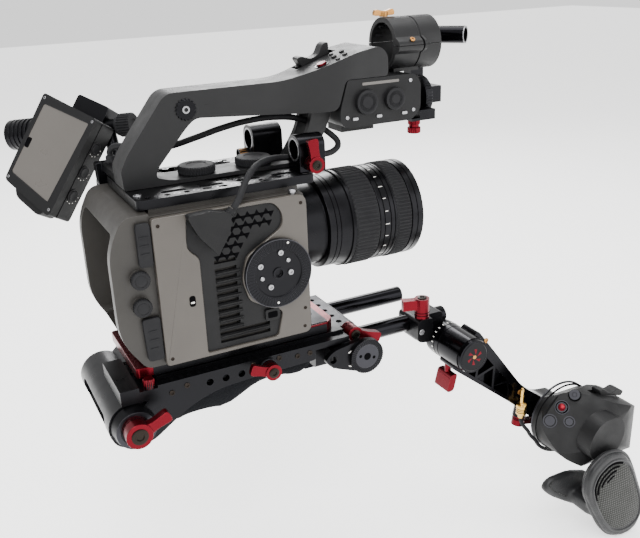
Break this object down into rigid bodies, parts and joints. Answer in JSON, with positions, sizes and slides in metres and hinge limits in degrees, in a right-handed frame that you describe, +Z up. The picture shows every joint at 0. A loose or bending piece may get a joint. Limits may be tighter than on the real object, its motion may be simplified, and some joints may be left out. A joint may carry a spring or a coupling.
{
  "type": "cinema camera rig",
  "caption": "Shoulder-mounted cinema camera with lens, top handle, monitor on an arm, rod baseplate with a shoulder pad, and a hand grip on a pivoting extension arm.",
  "frame": {"origin": "centre of the tripod wedge's underside, the face that stands on a tripod head", "axes": "+X forward along the lens, +Y to the camera's left, +Z up"},
  "size_m": [0.5035, 0.3506, 0.4765],
  "materials": {
    "dark_plastic": "fine-textured dark moulded plastic",
    "grey_panel": "warm grey satin paint",
    "soft_plastic": "soft-touch dark plastic",
    "rubber": "matt black rubber",
    "black_anodised": "gloss black anodised",
    "grey_anodised": "satin grey anodised",
    "red_anodised": "red anodised",
    "brass": "bronze-coloured knob",
    "screen_film": "grey-brown protective film on a display",
    "lens_glass": "coated lens glass",
    "foam": "charcoal closed-cell foam",
    "strap_leather": "dark smooth leather with a padded panel",
    "gold_plug": "gold-plated plug"
  },
  "bodies": {
    "base": {"base_frame": "black_anodised", "right_rod": "black_anodised", "left_rod": "black_anodised", "tripod_wedge": "grey_anodised", "accessory_rosette": "black_anodised", "shoulder_pad": "foam"},
    "camera": {"quick_release_plate": "red_anodised", "camera_body": "dark_plastic", "right_side_panel": "grey_panel", "vent_grille": "dark_plastic", "grip_rosette": "dark_plastic", "lens_barrel": "black_anodised", "front_glass": "lens_glass", "top_plate": "black_anodised", "rod_clamp_right": "black_anodised", "rod_clamp_left": "black_anodised", "handle": "soft_plastic", "audio_box": "dark_plastic", "mic_holder_lower": "soft_plastic", "front_accessory_bracket": "black_anodised", "monitor_bracket": "black_anodised", "monitor_cable": "rubber", "monitor_cable_plug": "dark_plastic"},
    "monitor": {"monitor_housing": "dark_plastic", "monitor_screen": "screen_film", "monitor_tilt_block": "black_anodised"},
    "monitor_arm": {"monitor_arm": "black_anodised"},
    "arm_clamp": {"arm_rod_clamp": "black_anodised"},
    "arm": {"extension_arm": "black_anodised", "grip_lead": "rubber", "lead_plug": "gold_plug"},
    "grip": {"grip_body": "dark_plastic", "hand_strap": "strap_leather"},
    "zoom_ring": {"zoom_ring": "rubber"},
    "focus_ring": {"focus_ring": "rubber"},
    "upper_port_door": {"upper_port_door": "rubber"},
    "lower_port_door": {"lower_port_door": "rubber"},
    "media_door": {"media_door": "dark_plastic"},
    "rod_clamp_lever": {"rod_clamp_lever": "red_anodised"},
    "rear_thumb_knob": {"rear_thumb_knob": "rubber"},
    "front_thumb_knob": {"front_thumb_knob": "rubber"},
    "zoom_rocker": {"zoom_rocker": "soft_plastic"},
    "handle_record_button": {"handle_record_button": "red_anodised"},
    "mic_holder_cap": {"mic_holder_cap": "soft_plastic"},
    "mic_thumbscrew": {"mic_thumbscrew": "brass"},
    "handle_rod": {"handle_rod": "black_anodised"},
    "accessory_knob": {"accessory_knob": "red_anodised"},
    "monitor_knob": {"monitor_knob": "rubber"},
    "monitor_button_top": {"monitor_button_top": "rubber"},
    "monitor_button_middle": {"monitor_button_middle": "rubber"},
    "monitor_button_bottom": {"monitor_button_bottom": "rubber"},
    "rear_lever": {"rear_lever": "red_anodised"},
    "side_lever": {"side_lever": "red_anodised"},
    "front_lever": {"front_lever": "red_anodised"},
    "arm_clamp_lever": {"arm_clamp_lever": "red_anodised"},
    "trigger": {"trigger": "red_anodised"},
    "wrist_lever": {"wrist_lever": "red_anodised"},
    "grip_record_button": {"grip_record_button": "dark_plastic"},
    "grip_dial": {"grip_dial": "dark_plastic"},
    "grip_zoom_rocker": {"grip_zoom_rocker": "soft_plastic"}
  },
  "joints": [
    {"name": "camera_slide", "type": "slide", "parent": "base", "child": "camera", "axis": [1, 0, 0], "range_m": [-0.02, 0]},
    {"name": "zoom_ring_turn", "type": "hinge", "parent": "camera", "child": "zoom_ring", "pos_m": [0.045, 0.009, 0.1215], "axis": [1, 0, 0], "range_deg": [-40, 50]},
    {"name": "focus_ring_turn", "type": "hinge", "parent": "camera", "child": "focus_ring", "pos_m": [0.08, 0.009, 0.1215], "axis": [1, 0, 0], "range_deg": [-90, 90]},
    {"name": "upper_port_door_open", "type": "hinge", "parent": "camera", "child": "upper_port_door", "pos_m": [-0.139, -0.047, 0.146], "axis": [0, 0, 1], "range_deg": [0, 100]},
    {"name": "lower_port_door_open", "type": "hinge", "parent": "camera", "child": "lower_port_door", "pos_m": [-0.139, -0.047, 0.074], "axis": [0, 0, 1], "range_deg": [0, 100]},
    {"name": "media_door_open", "type": "hinge", "parent": "camera", "child": "media_door", "pos_m": [-0.128, 0.0695, 0.09], "axis": [0, 0, 1], "range_deg": [0, 100]},
    {"name": "rod_clamp_lever_turn", "type": "hinge", "parent": "camera", "child": "rod_clamp_lever", "pos_m": [-0.005, -0.036, 0.1822], "axis": [0, -1, 0], "range_deg": [-80, 80]},
    {"name": "rear_thumb_knob_turn", "type": "hinge", "parent": "camera", "child": "rear_thumb_knob", "pos_m": [-0.084, 0.009, 0.181], "axis": [0, 0, 1], "continuous": true},
    {"name": "front_thumb_knob_turn", "type": "hinge", "parent": "camera", "child": "front_thumb_knob", "pos_m": [-0.037, 0.009, 0.181], "axis": [0, 0, 1], "continuous": true},
    {"name": "zoom_rocker_tilt", "type": "hinge", "parent": "camera", "child": "zoom_rocker", "pos_m": [0.02489, 0.021, 0.25454], "axis": [0, 1, 0], "range_deg": [-5, 5], "stiffness_Nm_per_rad": 0.2},
    {"name": "handle_record_press", "type": "slide", "parent": "camera", "child": "handle_record_button", "axis": [0.327, 0, -0.945], "range_m": [0, 0.001], "stiffness_N_per_m": 200},
    {"name": "mic_cap_open", "type": "hinge", "parent": "camera", "child": "mic_holder_cap", "pos_m": [0.105, -0.018, 0.261], "axis": [1, 0, 0], "range_deg": [0, 70]},
    {"name": "mic_thumbscrew_turn", "type": "hinge", "parent": "mic_holder_cap", "child": "mic_thumbscrew", "pos_m": [0.087, 0.013, 0.286], "axis": [0, 0, 1], "continuous": true},
    {"name": "handle_rod_slide", "type": "slide", "parent": "camera", "child": "handle_rod", "axis": [0.6018, -0.7987, 0], "range_m": [-0.01, 0.004]},
    {"name": "accessory_knob_turn", "type": "hinge", "parent": "camera", "child": "accessory_knob", "pos_m": [0.1035, -0.008, 0.194], "axis": [0, 0, 1], "continuous": true},
    {"name": "monitor_arm_swing", "type": "hinge", "parent": "camera", "child": "monitor_arm", "pos_m": [-0.134, 0.0836, 0.162], "axis": [0, 1, 0], "range_deg": [-30, 45]},
    {"name": "monitor_tilt", "type": "hinge", "parent": "monitor_arm", "child": "monitor", "pos_m": [-0.14301, 0.14603, 0.19697], "axis": [0.7258, -0.6805, 0.1007], "range_deg": [-20, 6]},
    {"name": "monitor_knob_turn", "type": "hinge", "parent": "monitor_arm", "child": "monitor_knob", "pos_m": [-0.10953, 0.11463, 0.20162], "axis": [0.7258, -0.6805, 0.1007], "continuous": true},
    {"name": "monitor_button_top_press", "type": "slide", "parent": "monitor", "child": "monitor_button_top", "axis": [-0.5333, 0.7924, 0.2962], "range_m": [0, 0.0015], "stiffness_N_per_m": 200},
    {"name": "monitor_button_middle_press", "type": "slide", "parent": "monitor", "child": "monitor_button_middle", "axis": [-0.5333, 0.7924, 0.2962], "range_m": [0, 0.0015], "stiffness_N_per_m": 200},
    {"name": "monitor_button_bottom_press", "type": "slide", "parent": "monitor", "child": "monitor_button_bottom", "axis": [-0.5333, 0.7924, 0.2962], "range_m": [0, 0.0015], "stiffness_N_per_m": 200},
    {"name": "rear_lever_turn", "type": "hinge", "parent": "base", "child": "rear_lever", "pos_m": [-0.17, -0.065, 0.014], "axis": [0, -1, 0], "range_deg": [-90, 60]},
    {"name": "side_lever_turn", "type": "hinge", "parent": "base", "child": "side_lever", "pos_m": [-0.061, -0.061, 0.032], "axis": [0, -1, 0], "range_deg": [-60, 90]},
    {"name": "front_lever_turn", "type": "hinge", "parent": "base", "child": "front_lever", "pos_m": [0.0205, -0.041, 0.0375], "axis": [0, -1, 0], "range_deg": [-40, 80]},
    {"name": "arm_clamp_slide", "type": "slide", "parent": "base", "child": "arm_clamp", "axis": [1, 0, 0], "range_m": [-0.02, 0.006]},
    {"name": "arm_clamp_lever_turn", "type": "hinge", "parent": "arm_clamp", "child": "arm_clamp_lever", "pos_m": [0.0955, -0.0346, 0.035], "axis": [0, 0, 1], "range_deg": [-90, 90]},
    {"name": "arm_swing", "type": "hinge", "parent": "arm_clamp", "child": "arm", "pos_m": [0.12, -0.051, 0.0035], "axis": [0, 1, 0], "range_deg": [-70, 30]},
    {"name": "trigger_pull", "type": "slide", "parent": "arm", "child": "trigger", "axis": [0, 0, -1], "range_m": [0, 0.004], "stiffness_N_per_m": 200},
    {"name": "wrist_lever_turn", "type": "hinge", "parent": "arm", "child": "wrist_lever", "pos_m": [0.1919, -0.059, -0.0876], "axis": [-0.1961, 0, -0.9806], "range_deg": [-120, 0]},
    {"name": "grip_turn", "type": "hinge", "parent": "arm", "child": "grip", "pos_m": [0.228, -0.079, -0.088], "axis": [0, 1, 0], "range_deg": [-40, 40]},
    {"name": "grip_record_press", "type": "slide", "parent": "grip", "child": "grip_record_button", "axis": [0.6198, 0.5499, -0.5599], "range_m": [0, 0.0015], "stiffness_N_per_m": 200},
    {"name": "grip_dial_turn", "type": "hinge", "parent": "grip", "child": "grip_dial", "pos_m": [0.224, -0.09627, -0.05606], "axis": [-0.6198, -0.5499, 0.5599], "continuous": true},
    {"name": "grip_rocker_tilt", "type": "hinge", "parent": "grip", "child": "grip_zoom_rocker", "pos_m": [0.25841, -0.102, -0.05928], "axis": [0, 1, 0], "range_deg": [-5, 5], "stiffness_Nm_per_rad": 0.2}
  ]
}
